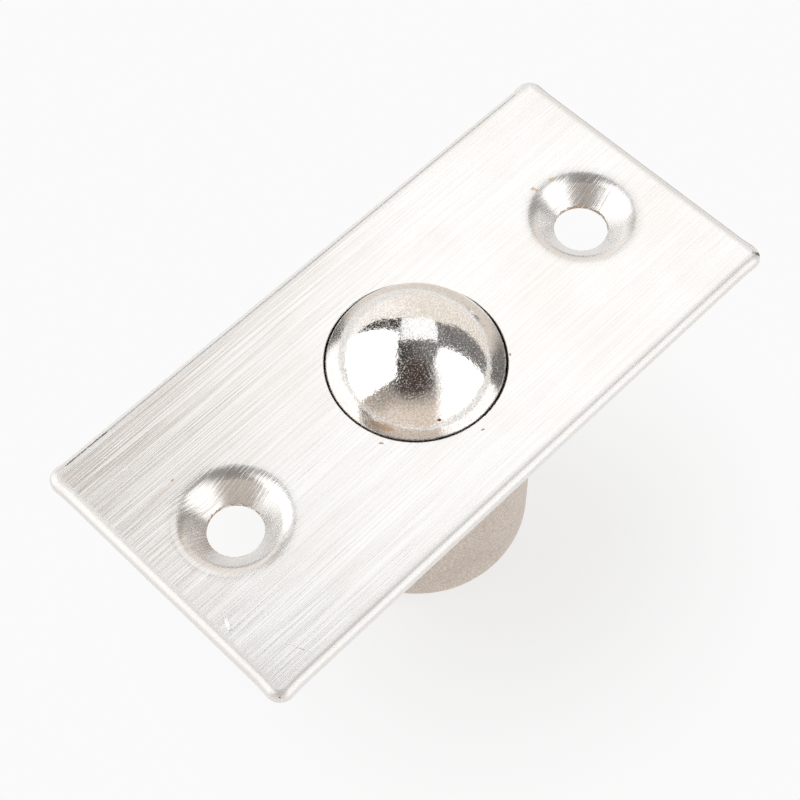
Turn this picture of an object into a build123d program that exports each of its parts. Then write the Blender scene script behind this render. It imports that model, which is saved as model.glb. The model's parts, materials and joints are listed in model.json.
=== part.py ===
from build123d import *
import math
import os

# Ball catch for the edge of a door: a sheet face plate with a turned-down rim, a barrel fixed to
# its back, and a ball that a compression spring holds up against the edge of the plate's hole.
# The origin is on the ball's axis, in the plane of the rim's lower edge, which seats on the door.
# X runs along the plate, Z points out of its face, and all sizes are in millimetres.

# Face plate
plate_length = 57.0
plate_width = 27.5
sheet = 0.5
rim_depth = 0.8            # from the plate's face to the lower edge of its turned-down rim
bend_radius = 0.75         # outside of the bend between the face and the rim
corner_radius = 1.3
corner_flare = 0.18        # how far the folded corners spread beyond the straight edges
flare_run = 2.5            # length of edge over which a corner spreads
flare_blend = 5.0

# Screw holes, pressed down as countersinks
screw_spacing = 40.9
screw_hole = 4.7
countersink_depth = 1.95   # from the face to the upper edge of the screw hole
countersink_angle = 90.0
entry_radius = 1.6
screw_hole_edge = 0.3      # thickness left at the screw hole, where the pressing draws the sheet
dimple_margin = 0.8        # flat sheet kept around each pressed countersink

# Ball and the hole that retains it
ball_diameter = 16.0
ball_lip = 0.38            # how far the edge of the plate's hole reaches over the ball
ball_hole_edge = 0.08      # rounding of the hole's upper edge
ball_seat_bevel = 0.18     # bevel of its lower edge, against which the ball rests
ball_seat_gap = 0.02

# Barrel
barrel_wall = 1.9
barrel_length = 25.6
barrel_end_radius = 2.5
barrel_floor = 2.0
barrel_mouth_edge = 0.25
bore_gap = 0.3             # between the ball and the bore that guides it
bore_corner_radius = 1.0

# Spring
wire = 1.2
spring_side_gap = 1.7      # between the coils and the bore
active_coils = 5
closed_coils = 1.0         # at each end
closed_coil_gap = 0.05
ground_tip = 0.3           # thickness left at the wire's ground ends
spring_seat_gap = 0.1      # between the last coil and the ball
steps_per_coil = 8

# Radii and heights that follow from the sizes above
ball_radius = ball_diameter / 2
hole_radius = ball_radius - ball_lip
bore_radius = ball_radius + bore_gap
barrel_radius = bore_radius + barrel_wall
coil_radius = bore_radius - spring_side_gap - wire / 2
face_z = rim_depth
back_z = face_z - sheet
seat_drop = math.sqrt((ball_radius + ball_seat_gap) ** 2 - hole_radius**2)
ball_z = back_z + ball_seat_bevel - seat_drop
barrel_end_z = back_z - barrel_length
floor_z = barrel_end_z + barrel_floor


def plate_outline():
    """Plan of the plate: a rectangle whose four corners spread a little and are rounded."""
    half_x = plate_length / 2
    half_y = plate_width / 2
    points = []
    for sx, sy in ((1, 1), (-1, 1), (-1, -1), (1, -1)):
        along_x = (sx * (half_x - flare_run), sy * half_y)
        tip = (sx * (half_x + corner_flare), sy * (half_y + corner_flare))
        along_y = (sx * half_x, sy * (half_y - flare_run))
        points += [along_y, tip, along_x] if sx * sy > 0 else [along_x, tip, along_y]
    outline = make_face(Polyline(*points, close=True))
    tips = [v for v in outline.vertices() if abs(v.X) > half_x + corner_flare / 2]
    outline = fillet(tips, corner_radius)
    blends = [
        v
        for v in outline.vertices()
        if min(math.hypot(v.X - x, v.Y - y) for x, y in points) < corner_flare / 10
    ]
    return fillet(blends, flare_blend)


def pressed_countersink():
    """Ring of sheet pressed down to a cone, with the screw hole punched through its end."""
    slope = math.radians(countersink_angle / 2)
    hole = screw_hole / 2
    mouth = hole + countersink_depth * math.tan(slope)
    setback = entry_radius * math.tan((math.pi / 2 - slope) / 2)
    back_mouth = mouth + setback - (entry_radius - sheet) * math.tan((math.pi / 2 - slope) / 2)
    outer = mouth + setback + dimple_margin
    edge_z = face_z - countersink_depth
    lower_z = edge_z - screw_hole_edge
    upper_mouth = (mouth, face_z)
    lower_mouth = (back_mouth, back_z)
    section = Plane.XZ * make_face(
        Polyline(
            (outer, face_z), upper_mouth, (hole, edge_z), (hole, lower_z), lower_mouth,
            (outer, back_z), close=True,
        )
    )

    def bend(face, point, radius):
        corner = min(
            face.vertices(), key=lambda v: math.hypot(v.X - point[0], v.Z - point[1])
        )
        return fillet(corner, radius)

    section = bend(section, upper_mouth, entry_radius)
    section = bend(section, lower_mouth, entry_radius - sheet)
    return revolve(section, Axis.Z), outer


def make_face_plate():
    """Thin sheet with its edges turned down, two pressed countersinks and the ball's hole."""
    outline = plate_outline()
    block = extrude(outline, rim_depth)
    block = fillet(block.faces().sort_by(Axis.Z)[-1].edges(), bend_radius)
    hollow = extrude(offset(outline, -sheet), back_z)
    hollow = fillet(hollow.faces().sort_by(Axis.Z)[-1].edges(), bend_radius - sheet)
    plate = block - hollow
    countersink, ring = pressed_countersink()
    for side in (-1, 1):
        place = Pos(side * screw_spacing / 2, 0, 0)
        plate -= place * Pos(0, 0, back_z) * Cylinder(
            ring, sheet, align=(Align.CENTER, Align.CENTER, Align.MIN)
        )
        plate += place * countersink
    plate -= Pos(0, 0, back_z) * Cylinder(
        hole_radius, sheet, align=(Align.CENTER, Align.CENTER, Align.MIN)
    )
    plate -= Pos(0, 0, back_z) * Cone(
        hole_radius + ball_seat_bevel, hole_radius, ball_seat_bevel,
        align=(Align.CENTER, Align.CENTER, Align.MIN),
    )
    rim = [
        e
        for e in plate.edges().filter_by(GeomType.CIRCLE)
        if abs(e.radius - hole_radius) < 0.01 and abs(e.center().Z - face_z) < 0.01
    ]
    return fillet(rim, ball_hole_edge)


def make_barrel():
    """Cup with a closed, rounded end, whose mouth sits square on the plate's back."""
    body = Pos(0, 0, barrel_end_z) * Cylinder(
        barrel_radius, barrel_length, align=(Align.CENTER, Align.CENTER, Align.MIN)
    )
    body = fillet(body.edges().sort_by(Axis.Z)[0], barrel_end_radius)
    body = fillet(body.edges().sort_by(Axis.Z)[-1], barrel_mouth_edge)
    inside = Pos(0, 0, floor_z) * Cylinder(
        bore_radius, back_z - floor_z, align=(Align.CENTER, Align.CENTER, Align.MIN)
    )
    inside = fillet(inside.edges().sort_by(Axis.Z)[0], bore_corner_radius)
    return body - inside


def make_ball():
    return Pos(0, 0, ball_z) * Sphere(ball_radius)


def make_spring():
    """Compression spring with closed, ground ends, from the barrel's floor to the ball."""
    inner = coil_radius - wire / 2
    top_z = ball_z - math.sqrt(ball_radius**2 - inner**2) - spring_seat_gap
    ground = wire / 2 - ground_tip
    rise = top_z - floor_z + 2 * ground
    turns = active_coils + 2 * closed_coils
    closed_pitch = wire + closed_coil_gap
    active_pitch = (rise - 2 * closed_coils * closed_pitch) / active_coils
    ease = 0.25  # turns on each side of a change of pitch

    def past(turn, change):
        """Turns run since a change of pitch, eased in."""
        run = turn - change
        if run <= -ease:
            return 0.0
        if run >= ease:
            return run
        return (run + ease) ** 2 / (4 * ease)

    points = []
    for step in range(round(turns * steps_per_coil) + 1):
        turn = step / steps_per_coil
        angle = 2 * math.pi * turn
        active = past(turn, closed_coils) - past(turn, turns - closed_coils)
        height = floor_z - ground + closed_pitch * turn + (active_pitch - closed_pitch) * active
        points.append((coil_radius * math.cos(angle), coil_radius * math.sin(angle), height))
    path = Spline(*points)
    section = Plane(origin=path @ 0, z_dir=path % 0) * Circle(wire / 2)
    between_ends = Pos(0, 0, floor_z) * Cylinder(
        bore_radius, top_z - floor_z, align=(Align.CENTER, Align.CENTER, Align.MIN)
    )
    return sweep(section, path) & between_ends


os.makedirs("parts", exist_ok=True)
nodes = {
    "face_plate": make_face_plate(),
    "barrel": make_barrel(),
    "ball": make_ball(),
    "spring": make_spring(),
}
for name, shape in nodes.items():
    export_step(shape, f"parts/{name}.step")
print("ball stands proud by", round(ball_z + ball_radius - face_z, 3))
print("ball centre at z", round(ball_z, 3), "floor at z", round(floor_z, 3))
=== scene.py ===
import json
import math

import bpy
from bpy.props import FloatProperty, FloatVectorProperty, IntProperty, PointerProperty
from mathutils import Matrix, Quaternion, Vector


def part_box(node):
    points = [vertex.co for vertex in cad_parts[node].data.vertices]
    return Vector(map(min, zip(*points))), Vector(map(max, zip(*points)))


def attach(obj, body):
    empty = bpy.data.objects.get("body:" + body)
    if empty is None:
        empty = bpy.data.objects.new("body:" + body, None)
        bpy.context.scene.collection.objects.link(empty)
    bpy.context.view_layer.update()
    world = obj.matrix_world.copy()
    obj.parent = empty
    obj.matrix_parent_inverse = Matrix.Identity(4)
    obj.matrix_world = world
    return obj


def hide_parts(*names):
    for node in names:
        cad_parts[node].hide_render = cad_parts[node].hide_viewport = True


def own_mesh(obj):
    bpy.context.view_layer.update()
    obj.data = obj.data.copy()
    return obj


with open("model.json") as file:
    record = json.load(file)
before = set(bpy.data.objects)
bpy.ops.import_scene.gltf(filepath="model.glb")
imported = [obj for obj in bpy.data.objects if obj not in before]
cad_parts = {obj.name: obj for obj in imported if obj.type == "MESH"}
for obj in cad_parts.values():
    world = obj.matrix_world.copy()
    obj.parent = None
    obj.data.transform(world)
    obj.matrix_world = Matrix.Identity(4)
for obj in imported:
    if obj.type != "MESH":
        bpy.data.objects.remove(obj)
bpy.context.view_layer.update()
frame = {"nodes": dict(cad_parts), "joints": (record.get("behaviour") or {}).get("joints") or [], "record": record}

bl_info = {
    "name": "Door ball catch",
    "version": (1, 0),
    "blender": (4, 5, 0),
    "location": "View3D > Sidebar > Ball catch",
    "description": "Finishes a sprung ball catch for a door's edge and sets it on a pale studio floor",
    "category": "Object",
}


def named(items, name):
    """The item with a name, from one of the record's lists."""
    return next(item for item in items if item["name"] == name)


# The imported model, measured before anything is added. Lengths are in metres.
PLATE_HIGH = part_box("face_plate")[1]
BARREL_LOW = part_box("barrel")[0]
BALL_LOW, BALL_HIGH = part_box("ball")
SPRING_LOW, SPRING_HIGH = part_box("spring")
BALL_CENTRE = (BALL_LOW + BALL_HIGH) / 2
BALL_RADIUS = (BALL_HIGH.z - BALL_LOW.z) / 2
BALL_TRAVEL = named(frame["joints"], "ball_press")["range_m"][1]
SCREW_HOLES = named(frame["record"]["mounts"], "screw_holes")["dims"]
MM = 0.001
FACE = PLATE_HIGH.z / MM  # height of the plate's face in millimetres, as the finishes use them
WHITE = (1.0, 1.0, 1.0, 1.0)


# Nodes


class Wiring:
    """Adds nodes to one tree. Each input is given as a value or as the socket that feeds it."""

    def __init__(self, tree):
        self.tree = tree

    def set(self, socket, value):
        if isinstance(value, bpy.types.NodeSocket):
            self.tree.links.new(value, socket)
        else:
            socket.default_value = value

    def add(self, kind, inputs=None, **settings):
        node = self.tree.nodes.new(kind)
        for name, value in settings.items():
            setattr(node, name, value)
        for name, value in (inputs or {}).items():
            self.set(node.inputs[name], value)
        return node

    def effect(self, group, **inputs):
        node = self.add("ShaderNodeGroup", inputs, node_tree=group)
        return node.outputs[0]

    def math(self, operation, first, *others):
        """One operation over several values in turn."""
        for other in others or (0.0,):
            node = self.add("ShaderNodeMath", operation=operation)
            self.set(node.inputs[0], first)
            self.set(node.inputs[1], other)
            first = node.outputs[0]
        return first

    def plus(self, *values):
        return self.math("ADD", *values)

    def minus(self, first, second):
        return self.math("SUBTRACT", first, second)

    def times(self, first, second):
        return self.math("MULTIPLY", first, second)

    def strongest(self, *masks):
        """The largest of several masks at each point."""
        return self.math("MAXIMUM", *masks)

    def built_up(self, value, *layers):
        """A value with others added to it. Each layer is a mask and the most that it adds."""
        for mask, most in layers:
            value = self.plus(value, self.times(mask, most))
        return value

    def ease(self, value, start, end, low=0.0, high=1.0):
        """The value between start and end, eased to run from low to high."""
        node = self.add(
            "ShaderNodeMapRange",
            {"Value": value, "From Min": start, "From Max": end, "To Min": low, "To Max": high},
            interpolation_type="SMOOTHSTEP",
        )
        return node.outputs["Result"]

    def span(self, value, start, end):
        """The value between start and end, as a share from 0 to 1."""
        node = self.add("ShaderNodeMapRange", {"Value": value, "From Min": start, "From Max": end})
        return node.outputs["Result"]

    def vector(self, operation, first, second=(0.0, 0.0, 0.0), output="Vector"):
        node = self.add("ShaderNodeVectorMath", operation=operation)
        self.set(node.inputs[0], first)
        self.set(node.inputs[1], second)
        return node.outputs[output]

    def dot(self, first, second):
        return self.vector("DOT_PRODUCT", first, second, "Value")

    def distance(self, first, second):
        return self.vector("DISTANCE", first, second, "Value")

    def split(self, vector):
        """The X, Y and Z of a vector."""
        return self.add("ShaderNodeSeparateXYZ", {"Vector": vector}).outputs

    def triple(self, value):
        """The same value along all three axes."""
        node = self.add("ShaderNodeCombineXYZ", {"X": value, "Y": value, "Z": value})
        return node.outputs["Vector"]

    def own_place(self):
        """The object's own coordinates, in metres."""
        return self.add("ShaderNodeTexCoord").outputs["Object"]

    def scaled(self, place, scale):
        node = self.add("ShaderNodeMapping", {"Vector": place, "Scale": scale})
        return node.outputs["Vector"]

    def noise(self, place, scale, detail=2.0, roughness=0.5):
        node = self.add(
            "ShaderNodeTexNoise",
            {"Vector": place, "Scale": scale, "Detail": detail, "Roughness": roughness},
        )
        return node.outputs["Fac"]

    def blend(self, share, first, second):
        """The first colour where share is 0, and the second where it is 1."""
        node = self.add("ShaderNodeMix", data_type="RGBA")
        self.set(node.inputs["Factor"], share)
        self.set(node.inputs[6], first)
        self.set(node.inputs[7], second)
        return node.outputs[2]

    def layered(self, base, *layers):
        """A colour with others laid over it. Each layer is a colour, its mask and its strength."""
        for over, mask, strength in layers:
            base = self.blend(self.times(mask, strength), base, over)
        return base

    def bumps(self, *layers):
        """A normal with bumps laid over each other. Each layer is a height and its depth in metres."""
        inputs = {"Strength": 1.0}
        for height, depth in layers:
            node = self.add("ShaderNodeBump", {**inputs, "Height": height, "Distance": depth})
            inputs["Normal"] = node.outputs["Normal"]
        return inputs["Normal"]


def colour(value):
    return (*value[:3], 1.0)


def tinted(value, tint):
    """A colour multiplied by a tint, as of the metal in a scratch or a pit."""
    return colour([channel * share for channel, share in zip(value, tint)])


def grey(share):
    return (share, share, share)


def empty_material(name):
    material = bpy.data.materials.new(name)
    material.use_nodes = True
    material.node_tree.nodes.clear()
    return material, Wiring(material.node_tree)


def close_material(wiring, shader):
    output = wiring.add("ShaderNodeOutputMaterial")
    wiring.set(output.inputs["Surface"], shader.outputs[0])


def metal_material(name):
    """An empty material, with its wiring and the object's own coordinates in millimetres."""
    material, wiring = empty_material(name)
    return material, wiring, wiring.scaled(wiring.own_place(), grey(1 / MM))


def close_metal(wiring, base, roughness, normal, metallic=1.0, **constants):
    """Closes a material with a metal surface. The constants are set on the shader's own sockets."""
    inputs = {"Base Color": base, "Metallic": metallic, "Roughness": roughness, "Normal": normal}
    inputs.update({name.replace("_", " "): value for name, value in constants.items()})
    close_material(wiring, wiring.add("ShaderNodeBsdfPrincipled", inputs))


# Effects that the finishes share


def effect_group(name, output, build, vectors=("Place",), **values):
    """A shader node group with one output, made once and then shared by the materials."""
    group = bpy.data.node_groups.get(name)
    if group:
        return group
    group = bpy.data.node_groups.new(name, "ShaderNodeTree")
    for label in vectors:
        group.interface.new_socket(name=label, in_out="INPUT", socket_type="NodeSocketVector")
    for label, default in values.items():
        socket = group.interface.new_socket(
            name=label, in_out="INPUT", socket_type="NodeSocketFloat"
        )
        socket.default_value = default
    group.interface.new_socket(name=output, in_out="OUTPUT", socket_type="NodeSocketFloat")
    wiring = Wiring(group)
    given = wiring.add("NodeGroupInput").outputs
    result = wiring.add("NodeGroupOutput")
    wiring.set(result.inputs[0], build(wiring, given))
    return group


def drawn_lines():
    """Fine parallel scratches, long along the direction with the small scale."""

    def build(wiring, given):
        fine = wiring.noise(given["Place"], scale=1.0, detail=1.0)
        wider = wiring.vector("MULTIPLY", given["Place"], (0.5, 0.2, 0.2))
        broad = wiring.noise(wider, scale=1.0, detail=1.0)
        both = wiring.built_up(wiring.times(fine, 0.93), (broad, 0.07))
        return wiring.ease(both, 0.42, 0.62)

    return effect_group("Drawn lines", "Lines", build)


def soft_noise(name, output, size, detail, roughness, start, end):
    """A group that gives noise of a size in millimetres, eased between two of its levels."""

    def build(wiring, given):
        frequency = wiring.math("DIVIDE", 1.0, given["Size"])
        noise = wiring.noise(given["Place"], frequency, detail, roughness)
        return wiring.ease(noise, start, end)

    return effect_group(name, output, build, Size=size)


def fine_grain():
    """Even grain of a given size, as left by pickling or blasting."""
    return soft_noise(
        "Fine grain", "Grain", size=0.2, detail=2.0, roughness=0.55, start=0.3, end=0.7
    )


def stain_clouds():
    """Large soft patches of tarnish and handling marks."""
    return soft_noise(
        "Stain clouds", "Cloud", size=8.0, detail=4.0, roughness=0.6, start=0.42, end=0.68
    )


def frayed(wiring, given, scale):
    """An uneven offset that frays the edge of a mark."""
    noise = wiring.noise(given["Place"], scale, detail=3.0, roughness=0.6)
    return wiring.times(wiring.minus(noise, 0.5), given["Ragged"])


def line_mark():
    """A spot, streak or scratch: 1 near the line from Start to End, with a ragged edge."""

    def build(wiring, given):
        along = wiring.vector("SUBTRACT", given["End"], given["Start"])
        offset = wiring.vector("SUBTRACT", given["Place"], given["Start"])
        run = wiring.math("DIVIDE", wiring.dot(offset, along), wiring.dot(along, along))
        nearest = wiring.vector("MULTIPLY", along, wiring.triple(wiring.span(run, 0.0, 1.0)))
        distance = wiring.plus(wiring.distance(offset, nearest), frayed(wiring, given, 5.0))
        return wiring.ease(distance, given["Width"], wiring.times(given["Width"], 0.6))

    return effect_group(
        "Line mark", "Mark", build, ("Place", "Start", "End"), Width=0.2, Ragged=0.3
    )


def ring_mark():
    """A thin ring round an upright axis. It marks the rust on the screw holes' edges and the painted shade on the
    ball hole's wall.
    """

    def build(wiring, given):
        offset = wiring.vector("SUBTRACT", given["Place"], given["Centre"])
        level = wiring.vector("MULTIPLY", offset, (1.0, 1.0, 0.0))
        reach = wiring.vector("LENGTH", level, output="Value")
        gap = wiring.math("ABSOLUTE", wiring.minus(reach, given["Radius"]))
        gap = wiring.plus(gap, frayed(wiring, given, 3.0))
        ring = wiring.ease(gap, given["Width"], wiring.times(given["Width"], 0.5))
        below = wiring.ease(wiring.split(offset)["Z"], 0.0, -0.08)
        return wiring.times(ring, below)

    return effect_group(
        "Ring mark", "Ring", build, ("Place", "Centre"), Radius=1.0, Width=0.2, Ragged=0.1
    )


def marks(wiring, place, table):
    """The strongest of several line marks, as one mask."""
    return wiring.strongest(*(
        wiring.effect(
            line_mark(), Place=place, Start=start, End=end, Width=width, Ragged=ragged
        )
        for start, end, width, ragged in table
    ))


# Sizes and colours that a user would change


COLOUR = {"subtype": "COLOR", "size": 3, "min": 0.0, "max": 1.0}
LENGTH = {"unit": "LENGTH", "precision": 6}


class CatchPlateSettings(bpy.types.PropertyGroup):
    steel: FloatVectorProperty(
        name="Steel",
        description="Colour of the brushed sheet",
        default=(0.804, 0.794, 0.782),
        **COLOUR,
    )
    rust: FloatVectorProperty(
        name="Rust",
        description="Colour of the small rust specks",
        default=(0.42, 0.24, 0.11),
        **COLOUR,
    )
    gold: FloatVectorProperty(
        name="Stain",
        description="Colour of the yellow stains beside one screw hole",
        default=(0.60, 0.42, 0.16),
        **COLOUR,
    )
    # This near-black colour is painted shade on the wall of the ball's hole, in two corners and at the far edge's
    # end.
    hole_and_corner_shade: FloatVectorProperty(
        name="Grime",
        description="Colour of the dirt on the wall of the ball's hole and in the corners",
        default=(0.02, 0.012, 0.008),
        **COLOUR,
    )
    # This grey is painted shade along the bend of the two far edges, which face away from the camera.
    fold_shade: FloatVectorProperty(
        name="Fold",
        description="Colour of the dull lines along the fold of the far edges",
        default=(0.40, 0.39, 0.40),
        **COLOUR,
    )
    line_depth: FloatProperty(
        name="Brush depth",
        description="Depth of the brushed lines",
        default=0.002 * MM,
        **LENGTH,
    )
    roughness: FloatProperty(
        name="Roughness",
        description="Roughness of the sheet between its brushed lines",
        subtype="FACTOR",
        min=0.0,
        max=1.0,
        default=0.17,
    )
    ball_hole: FloatProperty(
        name="Ball hole",
        description="Radius of the hole that the ball stands in, whose wall is grimy",
        default=7.62 * MM,
        **LENGTH,
    )
    screw_hole: FloatProperty(
        name="Screw hole",
        description="Radius of the screw holes, whose edges are rusty",
        default=SCREW_HOLES["hole_r_mm"] * MM,
        **LENGTH,
    )
    screw_spacing: FloatProperty(
        name="Screw spacing",
        description="Distance between the screw holes",
        default=SCREW_HOLES["spacing_x_mm"] * MM,
        **LENGTH,
    )


class CatchBarrelSettings(bpy.types.PropertyGroup):
    steel: FloatVectorProperty(
        name="Steel",
        description="Colour of the matt barrel",
        default=(0.72, 0.625, 0.545),
        **COLOUR,
    )
    grain: FloatProperty(
        name="Grain",
        description="Size of the barrel's fine grain, in millimetres",
        min=0.02,
        default=0.16,
    )


class CatchBallSettings(bpy.types.PropertyGroup):
    plating: FloatVectorProperty(
        name="Plating",
        description="Colour of the ball's bright plating",
        default=(0.95, 0.93, 0.905),
        **COLOUR,
    )
    tarnish: FloatVectorProperty(
        name="Tarnish",
        description="Colour of the tarnish low on the ball",
        default=(0.62, 0.44, 0.29),
        **COLOUR,
    )
    rust: FloatVectorProperty(
        name="Rust",
        description="Colour of the one rust spot on the ball",
        default=(0.20, 0.03, 0.02),
        **COLOUR,
    )
    pebble: FloatProperty(
        name="Pebble",
        description="Size of the dimples in the plating",
        default=0.5 * MM,
        **LENGTH,
    )
    pebble_depth: FloatProperty(
        name="Pebble depth",
        description="Depth of the dimples in the plating",
        default=0.003 * MM,
        **LENGTH,
    )


class CatchSpringSettings(bpy.types.PropertyGroup):
    wire: FloatProperty(
        name="Wire",
        description="Diameter of the spring's wire",
        default=1.2 * MM,
        **LENGTH,
    )
    active_coils: IntProperty(
        name="Active coils",
        description="Coils that are free to close up",
        min=1,
        default=5,
    )
    closed_gap: FloatProperty(
        name="Closed gap",
        description="Gap between the closed coil at each end and the next one",
        default=0.05 * MM,
        **LENGTH,
    )
    ground_tip: FloatProperty(
        name="Ground tip",
        description="Thickness left at the wire's ground ends",
        default=0.3 * MM,
        **LENGTH,
    )
    travel: FloatProperty(
        name="Travel",
        description="How far the spring shortens when the ball is pressed in fully",
        default=BALL_TRAVEL,
        **LENGTH,
    )
    steel: FloatVectorProperty(
        name="Steel",
        description="Colour of the spring wire",
        default=(0.46, 0.45, 0.44),
        **COLOUR,
    )


class CatchStageSettings(bpy.types.PropertyGroup):
    camera_place: FloatVectorProperty(
        name="Camera",
        description="Where the camera stands",
        subtype="TRANSLATION",
        unit="LENGTH",
        size=3,
        default=(-0.05779, -0.05768, 0.13709),
    )
    camera_aim: FloatVectorProperty(
        name="Aim",
        description="The point that the camera looks at",
        subtype="TRANSLATION",
        unit="LENGTH",
        size=3,
        default=(-0.00356, -0.00171, 0.0008),
    )
    camera_roll: FloatProperty(
        name="Roll",
        description="Turn of the camera about its own axis",
        subtype="ANGLE",
        default=math.radians(-1.235),
    )
    lens: FloatProperty(
        name="Lens",
        description="Focal length on a sensor 36 mm wide",
        unit="CAMERA",
        default=86.66,
    )
    floor: FloatVectorProperty(
        name="Floor",
        description="Colour of the floor, which shows in the catch's shadow",
        default=(0.88, 0.88, 0.88),
        **COLOUR,
    )
    panel_strength: FloatProperty(
        name="Side panels",
        description="Brightness of the two large panels beside the catch",
        min=0.0,
        default=1.8,
    )
    top_strength: FloatProperty(
        name="Top panel",
        description="Brightness of the square panel above the catch",
        min=0.0,
        default=1.32,
    )


# Finishes. Their lengths are in millimetres.


# Marks on the plate: start, end, width, and how ragged their edges are.
RUST_MARKS = (
    ((5.84, -5.18, 0.8), (5.95, -5.10, 0.8), 0.09, 0.15),
    ((-0.90, -8.40, 0.8), (-0.75, -8.45, 0.8), 0.09, 0.15),
    ((-7.52, -3.37, 0.8), (-7.40, -3.55, 0.8), 0.10, 0.15),
    ((-21.57, 6.02, 0.8), (-21.45, 6.05, 0.8), 0.09, 0.12),
    ((-21.3, 3.3, 0.3), (-21.5, 3.2, 0.3), 0.14, 0.20),
    ((-22.9, -2.0, -0.6), (-22.3, -2.9, -0.6), 0.07, 0.20),
    ((-14.65, -12.95, 0.7), (-1.1, -13.0, 0.7), 0.06, 0.30),
)
GOLD_MARKS = (
    ((19.5, 5.0, 0.8), (19.9, 4.1, 0.8), 0.16, 0.55),
    ((21.3, 4.6, 0.8), (21.7, 4.4, 0.8), 0.14, 0.50),
)
# Painted shade along the bend of the two far edges.
FOLD_SHADE_MARKS = (
    ((28.35, 12.4, 0.5), (28.35, -12.4, 0.5), 0.30, 0.25),
    ((-22.4, 13.15, 0.78), (26.0, 13.15, 0.78), 0.06, 0.20),
)
# Painted shade in two corners and at the left end of the far edge, where the rim turns away.
CORNER_SHADE_MARKS = (
    ((27.75, -13.05, 0.62), (28.15, -13.3, 0.45), 0.24, 0.40),
    ((-27.45, -13.0, 0.66), (-28.0, -13.3, 0.5), 0.12, 0.22),
    ((-26.6, 13.12, 0.78), (-22.4, 13.14, 0.78), 0.065, 0.34),
)
BRIGHT_MARKS = (
    ((-24.84, -10.08, 0.8), (-23.67, -13.14, 0.7), 0.07, 0.10),
    ((-26.95, -6.6, 0.75), (-26.6, -5.9, 0.75), 0.18, 0.20),
    ((-24.35, 13.1, 0.7), (-24.2, 12.9, 0.75), 0.09, 0.20),
    ((-24.0, 11.5, 0.8), (-23.85, 11.3, 0.8), 0.08, 0.15),
    ((-23.6, 9.5, 0.8), (-23.45, 9.35, 0.8), 0.08, 0.15),
)

# How often each set of lines changes in a millimetre along X, Y and Z
BRUSHED_PITCH = (0.06, 11.5, 2.0)
HAIRLINE_PITCH = (0.15, 16.5, 4.0)
PRESSED_PITCH = (0.10, 7.0, 0.5)

# The scratches grow stronger in one direction, over a run and from one share to another. The darkening that this
# brings towards the near left end is partly real wear and partly painted shade, where the light falls off.
WEAR_AND_SHADE_TOWARDS = (-0.7, 1.5, 0.0)
WEAR_AND_SHADE_RUN = (6.0, 34.0)
WEAR_AND_SHADE_SHARE = (0.14, 0.85)

# Tint of the scratched metal. Towards the near left end its darkening is partly painted shade.
SCRATCH_AND_SHADE_TINT = (0.66, 0.575, 0.505)
WARM_TINT = (0.93, 0.90, 0.865)
HOLE_SHADE_DEPTH = 0.02  # where the ball hole's painted shade begins, below the face
SCREW_HOLE_DEPTH = 1.85  # where the screw holes' rust begins, below the face
DIMPLE_REACH = (5.9, 4.9)  # distances from there at which the pressed metal begins and is full
BEND_REACH = (-1.2, -0.75)  # where the bend begins and is full, past the plate's greatest reach


def ball_hole_shade(wiring, place, settings):
    """Painted shade on the wall of the ball's hole, as a dark ring."""
    return wiring.effect(
        ring_mark(), Place=place, Centre=(0.0, 0.0, FACE - HOLE_SHADE_DEPTH),
        Radius=settings.ball_hole / MM, Width=0.13, Ragged=0.0,
    )


def screw_hole_masks(wiring, place, settings):
    """The rusty edges of the screw holes, and the pressed metal round them."""
    edges = []
    dimples = []
    for side in (-1, 1):
        centre = (side * settings.screw_spacing / MM / 2, 0.0, FACE - SCREW_HOLE_DEPTH)
        edges.append(
            wiring.effect(
                ring_mark(), Place=place, Centre=centre, Radius=settings.screw_hole / MM,
                Width=0.025, Ragged=0.50,
            )
        )
        dimples.append(wiring.ease(wiring.distance(place, centre), *DIMPLE_REACH))
    return wiring.strongest(*edges), wiring.strongest(*dimples)


def bend_mask(wiring, place):
    """1 on the rounded bend along the plate's four edges, and 0 on its flat face."""
    reach = wiring.split(wiring.vector("ABSOLUTE", place))
    past_end = wiring.minus(reach["X"], PLATE_HIGH.x / MM)
    past_side = wiring.minus(reach["Y"], PLATE_HIGH.y / MM)
    return wiring.ease(wiring.strongest(past_end, past_side), *BEND_REACH)


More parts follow.
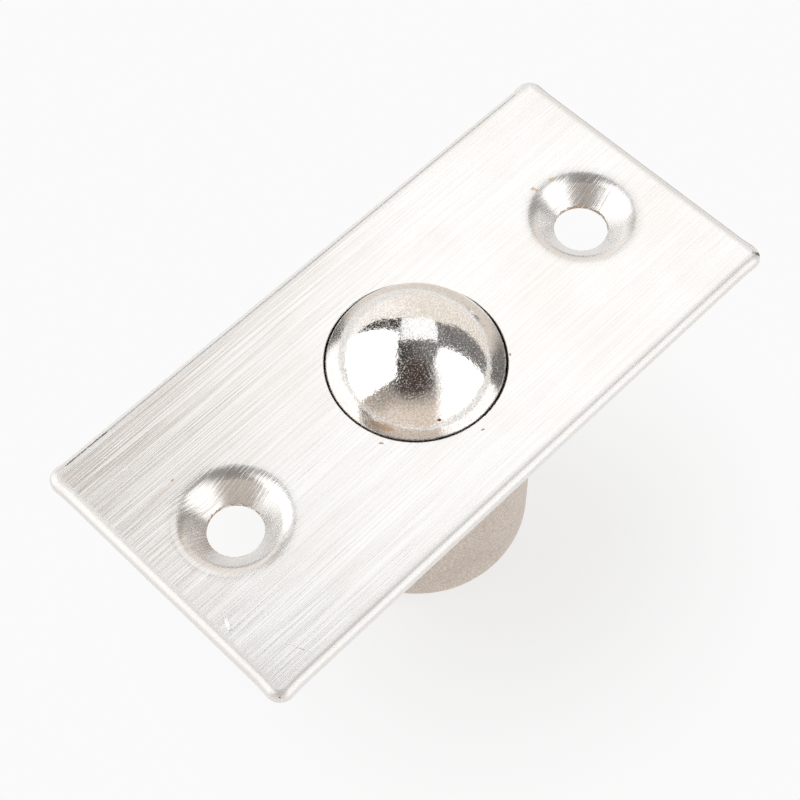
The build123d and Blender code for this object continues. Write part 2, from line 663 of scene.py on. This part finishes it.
def plate_material(settings):
    """Brushed sheet: lines along X, soft stains, a few rust marks and scratches, rusty screw holes, painted shade
    on the ball hole's wall, in two corners and along the far edges, and scratches that darken one end, partly as
    painted shade.
    """
    material, wiring, place = metal_material("brushed_sheet")
    lines = wiring.effect(drawn_lines(), Place=wiring.scaled(place, BRUSHED_PITCH))
    hairs = wiring.effect(drawn_lines(), Place=wiring.scaled(place, HAIRLINE_PITCH))
    drag = wiring.effect(drawn_lines(), Place=wiring.scaled(place, PRESSED_PITCH))
    cloud = wiring.effect(stain_clouds(), Place=place, Size=9.0)
    gold = marks(wiring, place, GOLD_MARKS)
    bright = marks(wiring, place, BRIGHT_MARKS)
    # Painted shade along the bend of the two far edges.
    fold_shade = marks(wiring, place, FOLD_SHADE_MARKS)
    edges, pressed = screw_hole_masks(wiring, place, settings)
    rust = wiring.strongest(marks(wiring, place, RUST_MARKS), edges)
    # Painted shade: dark marks in two corners and at the far edge's end, joined below with the dark ring on the
    # ball hole's wall.
    corners = wiring.times(marks(wiring, place, CORNER_SHADE_MARKS), 0.85)
    hole_and_corner_shade = wiring.strongest(ball_hole_shade(wiring, place, settings), corners)
    # Rust, stains and the painted shade, which all also take some shine from the metal.
    dull = wiring.strongest(rust, gold, hole_and_corner_shade)
    bent = bend_mask(wiring, place)
    flat = wiring.minus(1.0, bent)
    # Partly painted shade: the scratches darken the sheet more towards the near left end, where the light falls
    # off.
    wear_and_shade = wiring.ease(wiring.dot(place, WEAR_AND_SHADE_TOWARDS), *WEAR_AND_SHADE_RUN, *WEAR_AND_SHADE_SHARE)
    scratches = wiring.built_up(wiring.times(lines, 0.5), (hairs, 0.5))
    base = wiring.layered(
        colour(settings.steel),
        (tinted(settings.steel, WARM_TINT), cloud, 0.35),
        (tinted(settings.steel, SCRATCH_AND_SHADE_TINT), scratches, wiring.times(wear_and_shade, flat)),
        (WHITE, bright, 0.55),
        (colour(settings.fold_shade), fold_shade, 0.8),
        (colour(settings.rust), rust, 0.75),
        (colour(settings.gold), gold, 0.6),
        (colour(settings.hole_and_corner_shade), hole_and_corner_shade, 1.0),
    )
    roughness = wiring.built_up(
        settings.roughness, (lines, 0.04), (pressed, 0.09), (bent, 0.15), (dull, 0.35)
    )
    hazy = wiring.strongest(dull, wiring.times(bent, 0.6), wiring.times(pressed, 0.22))
    normal = wiring.bumps(
        (wiring.times(lines, flat), settings.line_depth),
        (wiring.times(hairs, flat), settings.line_depth * 0.6),
        (wiring.times(drag, pressed), settings.line_depth * 3.0),
        (bright, 0.02 * MM),
    )
    close_metal(wiring, base, roughness, normal, wiring.minus(1.0, hazy))
    return material


def barrel_material(settings):
    """Matt drawn steel with a fine grain and small dark pits."""
    material, wiring, place = metal_material("matt_barrel")
    grain = wiring.effect(fine_grain(), Place=place, Size=settings.grain)
    cloud = wiring.effect(stain_clouds(), Place=place, Size=6.0)
    pits = wiring.ease(wiring.noise(place, scale=10.0, detail=2.0, roughness=0.6), 0.55, 0.66)
    shade = tinted(settings.steel, grey(0.52))
    base = wiring.layered(
        colour(settings.steel), (shade, grain, 0.7), (shade, cloud, 0.25), (shade, pits, 0.6)
    )
    roughness = wiring.built_up(0.42, (grain, 0.12))
    close_metal(wiring, base, roughness, wiring.bumps((grain, 0.012 * MM)))
    return material


# Marks on the ball, as those on the plate
TARNISH_MARKS = (((-6.85, -2.0, 1.45), (-6.3, -3.3, 1.55), 0.34, 0.70),)
RED_MARKS = (((-3.22, -5.91, 2.30), (-3.32, -5.84, 2.33), 0.13, 0.12),)


def ball_material(settings):
    """Bright plating, finely pitted, with tarnish low down."""
    material, wiring, place = metal_material("pitted_plating")
    fine = wiring.effect(fine_grain(), Place=place, Size=0.15)
    pebble = wiring.effect(fine_grain(), Place=place, Size=0.34)
    cloud = wiring.effect(stain_clouds(), Place=place, Size=3.0)
    pits = wiring.ease(wiring.noise(place, scale=9.5, detail=1.0, roughness=0.5), 0.54, 0.66)
    tarnish = colour(settings.tarnish)
    base = wiring.layered(
        colour(settings.plating),
        (tinted(settings.plating, grey(0.58)), fine, 0.7),
        (tarnish, cloud, 0.12),
        (tarnish, marks(wiring, place, TARNISH_MARKS), 0.7),
        (colour(settings.rust), marks(wiring, place, RED_MARKS), 1.0),
    )
    roughness = wiring.built_up(0.04, (fine, 0.04))
    normal = wiring.bumps((pebble, 0.0034 * MM), (pits, 0.002 * MM))
    close_metal(wiring, base, roughness, normal, wiring.minus(1.0, wiring.times(pits, 0.40)))
    return material


def spring_material(settings):
    """Drawn spring wire with a thin film of oil."""
    material, wiring, place = metal_material("spring_wire")
    grain = wiring.effect(fine_grain(), Place=place, Size=0.12)
    cloud = wiring.effect(stain_clouds(), Place=place, Size=2.5)
    shade = tinted(settings.steel, grey(0.6))
    base = wiring.layered(colour(settings.steel), (shade, cloud, 0.6))
    roughness = wiring.built_up(0.24, (grain, 0.14))
    normal = wiring.bumps((grain, 0.002 * MM))
    close_metal(wiring, base, roughness, normal, Coat_Weight=0.25, Coat_Roughness=0.2)
    return material


# Modelling


def deselect():
    bpy.ops.object.select_all(action="DESELECT")


def apply_place(piece):
    """Moves a piece's place and turn into its mesh, so that its object sits at the origin."""
    deselect()
    piece.select_set(True)
    bpy.context.view_layer.objects.active = piece
    bpy.ops.object.transform_apply(location=True, rotation=True, scale=True)


def apply_modifiers(piece):
    bpy.context.view_layer.objects.active = piece
    for modifier in list(piece.modifiers):
        bpy.ops.object.modifier_apply(modifier=modifier.name)


def dress(piece, material):
    """Gives a piece one material in its first slot."""
    if piece.data.materials:
        piece.data.materials[0] = material
    else:
        piece.data.materials.append(material)


class CATCH_OT_face_plate(bpy.types.Operator):
    """Gives the face plate its brushed finish"""

    bl_idname = "catch.face_plate"
    bl_label = "Face plate"

    def execute(self, context):
        dress(frame["nodes"]["face_plate"], plate_material(context.scene.catch_plate))
        return {"FINISHED"}


class CATCH_OT_barrel(bpy.types.Operator):
    """Gives the barrel its matt finish"""

    bl_idname = "catch.barrel"
    bl_label = "Barrel"

    def execute(self, context):
        dress(frame["nodes"]["barrel"], barrel_material(context.scene.catch_barrel))
        return {"FINISHED"}


class CATCH_OT_ball(bpy.types.Operator):
    """Makes the ball, with the dimples of its plating"""

    bl_idname = "catch.ball"
    bl_label = "Ball"

    def execute(self, context):
        settings = context.scene.catch_ball
        deselect()
        bpy.ops.mesh.primitive_ico_sphere_add(subdivisions=7, radius=BALL_RADIUS, location=BALL_CENTRE)
        ball = context.object
        ball.name = "plated_ball"
        dimples = bpy.data.textures.new("dimples", "CLOUDS")
        dimples.noise_scale = settings.pebble
        dimples.noise_depth = 1
        pebble = ball.modifiers.new("pebble", "DISPLACE")
        pebble.texture = dimples
        pebble.texture_coords = "LOCAL"
        pebble.mid_level = 1.0
        pebble.strength = settings.pebble_depth
        apply_modifiers(ball)
        apply_place(ball)
        bpy.ops.object.shade_smooth()
        dress(ball, ball_material(settings))
        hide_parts("ball")
        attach(ball, "ball")
        return {"FINISHED"}


WIRE_SIDES = 16
STEPS_PER_COIL = 48
MERGE_DISTANCE = 0.001 * MM


def wind_coils(settings, low_z, pitch, turns):
    """Winds part of the spring upwards from low_z. The wire's section starts and ends over +X."""
    deselect()
    coil_radius = SPRING_HIGH.y - settings.wire / 2
    bpy.ops.mesh.primitive_circle_add(
        vertices=WIRE_SIDES, radius=settings.wire / 2, location=(coil_radius, 0, low_z),
        rotation=(math.radians(90), 0, 0),
    )
    coils = bpy.context.object
    apply_place(coils)
    screw = coils.modifiers.new("wind", "SCREW")
    screw.axis = "Z"
    screw.angle = math.radians(360)
    screw.screw_offset = pitch
    screw.iterations = turns
    screw.steps = STEPS_PER_COIL
    screw.render_steps = STEPS_PER_COIL
    screw.use_smooth_shade = True
    apply_modifiers(coils)
    return coils


def grind_end(height, upwards):
    """Cuts the wire that is being edited flat at a height, and closes the cut."""
    bpy.ops.mesh.select_all(action="SELECT")
    bpy.ops.mesh.bisect(
        plane_co=(0, 0, height), plane_no=(0, 0, 1), use_fill=True,
        clear_inner=not upwards, clear_outer=upwards,
    )


class CATCH_OT_spring(bpy.types.Operator):
    """Winds the spring from its closed, ground end on the barrel's floor up to the ball"""

    bl_idname = "catch.spring"
    bl_label = "Spring"

    def execute(self, context):
        settings = context.scene.catch_spring
        height = SPRING_HIGH.z - SPRING_LOW.z
        ground = settings.wire / 2 - settings.ground_tip
        closed_pitch = settings.wire + settings.closed_gap
        rise = height + 2 * ground
        active_pitch = (rise - 2 * closed_pitch) / settings.active_coils
        low = SPRING_LOW.z - ground
        upper = low + rise - closed_pitch
        parts = [
            wind_coils(settings, low, closed_pitch, 1),
            wind_coils(settings, low + closed_pitch, active_pitch, settings.active_coils),
            wind_coils(settings, upper, closed_pitch, 1),
        ]
        deselect()
        for part in parts:
            part.select_set(True)
        spring = parts[0]
        context.view_layer.objects.active = spring
        bpy.ops.object.join()
        spring.name = "wound_spring"
        bpy.ops.object.mode_set(mode="EDIT")
        bpy.ops.mesh.select_all(action="SELECT")
        bpy.ops.mesh.remove_doubles(threshold=MERGE_DISTANCE)
        bpy.ops.mesh.select_all(action="DESELECT")
        bpy.ops.mesh.select_non_manifold()
        bpy.ops.mesh.fill_holes(sides=0)
        grind_end(SPRING_LOW.z, False)
        grind_end(SPRING_HIGH.z, True)
        bpy.ops.mesh.select_all(action="SELECT")
        bpy.ops.mesh.normals_make_consistent(inside=False)
        bpy.ops.object.mode_set(mode="OBJECT")
        bpy.ops.object.shade_smooth_by_angle(angle=math.radians(40))
        dress(spring, spring_material(settings))
        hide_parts("spring")
        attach(spring, "spring")
        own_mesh(spring)
        return {"FINISHED"}


# The studio. A direction in it is an azimuth and an elevation in degrees, seen from the catch.


ROOM_RADIUS = 3.0
FLOOR_RADIUS = 0.98 * ROOM_RADIUS
BACKGROUND = (0.96, 0.96, 0.96)
CEILING = (0.205, 0.198, 0.196)
CEILING_LEFT = (0.065, 0.06, 0.057)
FRONT = (0.85, 0.745, 0.65)
FRONT_DIRECTION = (215, 0)
FRONT_TOP = math.sin(math.radians(52))  # height in the room at which the warm front begins
FRONT_FULL = math.sin(math.radians(15))  # and that at which it is full
CORNER = (0.34, 0.30, 0.27)
CORNER_DIRECTION = (170, 24)
CAMERA_SHADE = (0.075, 0.05, 0.042)
CAMERA_DIRECTION = (222, 61)

# The pale board, in shares of its distance. To both sides its top slopes down and then thins out
# to its foot, each between two reaches and by one drop.
BOARD = (1.0, 0.93, 0.855)
BOARD_LEFT = (1.16, 1.12, 1.08)
BOARD_DIRECTION = (39, 0)
BOARD_HEIGHT = 0.93
BOARD_SLOPE = (0.55, 0.95)
BOARD_SLOPE_DROP = 0.33
BOARD_FOOT = (0.95, 2.5)
BOARD_FOOT_DROP = 0.57
BOARD_EDGE = 0.012

# The square panel above, in shares of its height over the ball
TOP_HEIGHT = 0.7
TOP_CENTRE = (0.526, 0.414, 1.0)
TOP_SIDE = 0.77
TOP_TURN = 45.9

# Where the catch's shadow lies on the floor, its reach, and the floor's glow within it
SHADOW_CENTRE = (0.002, -0.006, 0.0)
SHADOW_REACH = (0.006, 0.035)
SHADOW_GLOW = 0.72


def panel_frame(azimuth, elevation):
    """Unit vectors out to a panel that faces the ball, sideways along it, and up along it."""
    a, e = math.radians(azimuth), math.radians(elevation)
    outward = Vector((math.cos(a) * math.cos(e), math.sin(a) * math.cos(e), math.sin(e)))
    sideways = Vector((-math.sin(a), math.cos(a), 0.0))
    return outward, sideways, outward.cross(sideways)


def round_patch(wiring, direction, middle, outer, inner, most=1.0):
    """A soft round patch about its middle. Outer and inner are angles from there, in degrees."""
    towards = wiring.dot(direction, panel_frame(*middle)[0])
    start = math.cos(math.radians(outer))
    end = math.cos(math.radians(inner))
    return wiring.ease(towards, start, end, 0.0, most)


def board_mask(wiring, direction):
    """1 where the pale board behind the catch stands, which is widest at its foot."""
    outward, sideways, _ = panel_frame(*BOARD_DIRECTION)
    ahead = wiring.dot(direction, outward)
    ahead_only = wiring.math("MAXIMUM", ahead, 0.001)
    aside = wiring.math("ABSOLUTE", wiring.dot(direction, sideways))
    aside = wiring.math("DIVIDE", aside, ahead_only)
    height = wiring.math("DIVIDE", wiring.split(direction)["Z"], ahead_only)
    slope = wiring.times(wiring.span(aside, *BOARD_SLOPE), BOARD_SLOPE_DROP)
    foot = wiring.times(wiring.span(aside, *BOARD_FOOT), BOARD_FOOT_DROP)
    outline = wiring.minus(BOARD_HEIGHT, wiring.plus(slope, foot))
    inside = wiring.ease(wiring.minus(outline, height), -BOARD_EDGE, BOARD_EDGE)
    return wiring.times(inside, wiring.math("GREATER_THAN", ahead, 0.01))


def make_backdrop():
    """A plain pale backdrop beyond the floor."""
    world = bpy.data.worlds.new("backdrop")
    world.use_nodes = True
    world.node_tree.nodes.clear()
    wiring = Wiring(world.node_tree)
    backdrop = wiring.add("ShaderNodeBackground", {"Color": colour(BACKGROUND), "Strength": 1.0})
    output = wiring.add("ShaderNodeOutputWorld")
    wiring.set(output.inputs["Surface"], backdrop.outputs[0])
    bpy.context.scene.world = world


def room_view(wiring):
    """What the room shows in each direction: its ceiling, front, corner, dark camera and board."""
    direction = wiring.vector("NORMALIZE", wiring.own_place())
    height = wiring.split(direction)["Z"]
    aside = wiring.dot(direction, panel_frame(*BOARD_DIRECTION)[1])
    ceiling = wiring.blend(wiring.ease(aside, -0.3, 0.3), colour(CEILING), colour(CEILING_LEFT))
    front = wiring.ease(wiring.dot(direction, panel_frame(*FRONT_DIRECTION)[0]), -0.2, 0.45)
    low = wiring.ease(height, FRONT_TOP, FRONT_FULL)
    corner = round_patch(wiring, direction, CORNER_DIRECTION, outer=30, inner=8, most=0.75)
    camera = round_patch(wiring, direction, CAMERA_DIRECTION, outer=30, inner=4)
    board = wiring.blend(wiring.span(aside, 0.0, 0.5), colour(BOARD), colour(BOARD_LEFT))
    return wiring.layered(
        ceiling,
        (colour(FRONT), front, low),
        (colour(CORNER), corner, 1.0),
        (colour(CAMERA_SHADE), camera, 1.0),
        (board, board_mask(wiring, direction), 1.0),
    )


def make_room():
    """The studio round the catch, which its metal mirrors and the camera doesn't see."""
    deselect()
    bpy.ops.mesh.primitive_uv_sphere_add(segments=64, ring_count=32, radius=ROOM_RADIUS)
    room = bpy.context.object
    room.name = "room"
    bpy.ops.object.shade_smooth()
    room.visible_camera = False
    room.visible_shadow = False
    material, wiring = empty_material("room")
    view = wiring.add("ShaderNodeEmission", {"Color": room_view(wiring), "Strength": 1.0})
    close_material(wiring, view)
    room.data.materials.append(material)


def mix_shaders(wiring, share, first, second):
    mixed = wiring.add("ShaderNodeMixShader", {"Fac": share})
    wiring.set(mixed.inputs[1], first.outputs[0])
    wiring.set(mixed.inputs[2], second.outputs[0])
    return mixed


def glow_material(name, strength, slant=(0.0, 0.0), middle=1.0, soft=(0.0, 0.5), least=0.0):
    """White light that thins out to its least share across a slanting line, and shows the room."""
    material, wiring = empty_material(name)
    along = wiring.dot(wiring.own_place(), (*slant, 0.0))
    share = wiring.ease(wiring.plus(along, middle), *soft, least, 1.0)
    clear = wiring.add("ShaderNodeBsdfTransparent")
    light = wiring.add("ShaderNodeEmission", {"Color": WHITE, "Strength": strength})
    close_material(wiring, mix_shaders(wiring, share, clear, light))
    return material


def light_panel(name, centre, axes, width, height, material):
    """A flat panel that lights the catch and shows in its metal, and that the camera doesn't see."""
    deselect()
    bpy.ops.mesh.primitive_plane_add(size=1.0, location=centre)
    panel = bpy.context.object
    panel.name = name
    panel.rotation_mode = "QUATERNION"
    panel.rotation_quaternion = Matrix(axes).transposed().to_quaternion()
    panel.scale = (width, height, 1.0)
    panel.visible_camera = False
    panel.visible_shadow = False
    panel.data.materials.append(material)


def facing_panel(name, direction, distance, sides, ends, material):
    """A panel square to one direction. Its sides and ends are shares of its distance."""
    outward, sideways, up = panel_frame(*direction)
    middle = sideways * sum(sides) / 2 + up * sum(ends) / 2
    centre = BALL_CENTRE + (outward + middle) * distance
    width = (sides[1] - sides[0]) * distance
    height = (ends[1] - ends[0]) * distance
    light_panel(name, centre, (sideways, up, outward), width, height, material)


def make_panels(strength, top_strength):
    """Two large softboxes beside the catch, and a square one above and behind it."""
    hard = glow_material("left_panel", strength)
    facing_panel(
        "left_panel", direction=(128, 30), distance=0.8, sides=(-0.58, 0.76), ends=(-0.55, 0.80),
        material=hard,
    )
    soft = glow_material(
        "right_panel", strength, slant=(1.17, -0.867), middle=0.314, soft=(-0.1, 0.35)
    )
    facing_panel(
        "right_panel", direction=(-65, 30), distance=0.8, sides=(-1.15, 0.42), ends=(-0.55, 0.75),
        material=soft,
    )
    top = glow_material(
        "top_panel", top_strength, slant=(0.2, -0.98), middle=0.0, soft=(-0.5, -0.1), least=0.88
    )
    centre = BALL_CENTRE + Vector(TOP_CENTRE) * TOP_HEIGHT
    across, along, up = panel_frame(TOP_TURN, 0)
    side = TOP_SIDE * TOP_HEIGHT
    light_panel("top_panel", centre, (across, along, up), side, side, top)


def make_floor(settings):
    """A pale floor. The camera and the metal see it glow, more so away from the catch's shadow."""
    deselect()
    bpy.ops.mesh.primitive_circle_add(
        vertices=96, radius=FLOOR_RADIUS, fill_type="NGON", location=(0, 0, BARREL_LOW.z)
    )
    floor = bpy.context.object
    floor.name = "floor"
    material, wiring = empty_material("floor")
    diffuse = wiring.add("ShaderNodeBsdfDiffuse", {"Color": colour(settings.floor)})
    glow = wiring.add("ShaderNodeEmission", {"Color": colour(BACKGROUND), "Strength": 1.0})
    distance = wiring.distance(wiring.own_place(), SHADOW_CENTRE)
    far = wiring.ease(distance, *SHADOW_REACH, SHADOW_GLOW, 1.0)
    path = wiring.add("ShaderNodeLightPath").outputs
    seen = wiring.times(far, path["Is Camera Ray"])
    share = wiring.strongest(seen, path["Is Glossy Ray"], path["Is Transmission Ray"])
    close_material(wiring, mix_shaders(wiring, share, diffuse, glow))
    floor.data.materials.append(material)


def make_camera(settings):
    place = Vector(settings.camera_place)
    aim = Vector(settings.camera_aim) - place
    deselect()
    bpy.ops.object.camera_add(location=place)
    camera = bpy.context.object
    camera.name = "camera"
    camera.rotation_mode = "QUATERNION"
    roll = Quaternion((0, 0, 1), settings.camera_roll)
    camera.rotation_quaternion = aim.to_track_quat("-Z", "Y") @ roll
    camera.data.sensor_width = 36.0
    camera.data.lens = settings.lens
    camera.data.clip_start = 0.005
    camera.data.clip_end = 10.0
    bpy.context.scene.camera = camera


class CATCH_OT_stage(bpy.types.Operator):
    """Sets the floor, the light panels, the room and the camera"""

    bl_idname = "catch.stage"
    bl_label = "Stage"

    def execute(self, context):
        settings = context.scene.catch_stage
        context.scene.view_settings.view_transform = "Standard"
        make_backdrop()
        make_room()
        make_panels(settings.panel_strength, settings.top_strength)
        make_floor(settings)
        make_camera(settings)
        return {"FINISHED"}


# The add-on


# Each operator, with the scene property that holds its settings
TOOLS = (
    (CATCH_OT_face_plate, "catch_plate", CatchPlateSettings),
    (CATCH_OT_barrel, "catch_barrel", CatchBarrelSettings),
    (CATCH_OT_ball, "catch_ball", CatchBallSettings),
    (CATCH_OT_spring, "catch_spring", CatchSpringSettings),
    (CATCH_OT_stage, "catch_stage", CatchStageSettings),
)


class CATCH_PT_panel(bpy.types.Panel):
    """Lists the catch's pieces and its stage"""

    bl_label = "Ball catch"
    bl_idname = "CATCH_PT_panel"
    bl_space_type = "VIEW_3D"
    bl_region_type = "UI"
    bl_category = "Ball catch"

    def draw(self, context):
        for operator, name, group in TOOLS:
            box = self.layout.box()
            box.operator(operator.bl_idname)
            for field in group.__annotations__:
                box.prop(getattr(context.scene, name), field)


def register():
    for operator, name, group in TOOLS:
        bpy.utils.register_class(group)
        setattr(bpy.types.Scene, name, PointerProperty(type=group))
        bpy.utils.register_class(operator)
    bpy.utils.register_class(CATCH_PT_panel)


def unregister():
    bpy.utils.unregister_class(CATCH_PT_panel)
    for operator, name, group in reversed(TOOLS):
        bpy.utils.unregister_class(operator)
        delattr(bpy.types.Scene, name)
        bpy.utils.unregister_class(group)


def main():
    register()
    bpy.ops.catch.face_plate()
    bpy.ops.catch.barrel()
    bpy.ops.catch.ball()
    bpy.ops.catch.spring()
    bpy.ops.catch.stage()


if __name__ == "__main__":
    main()
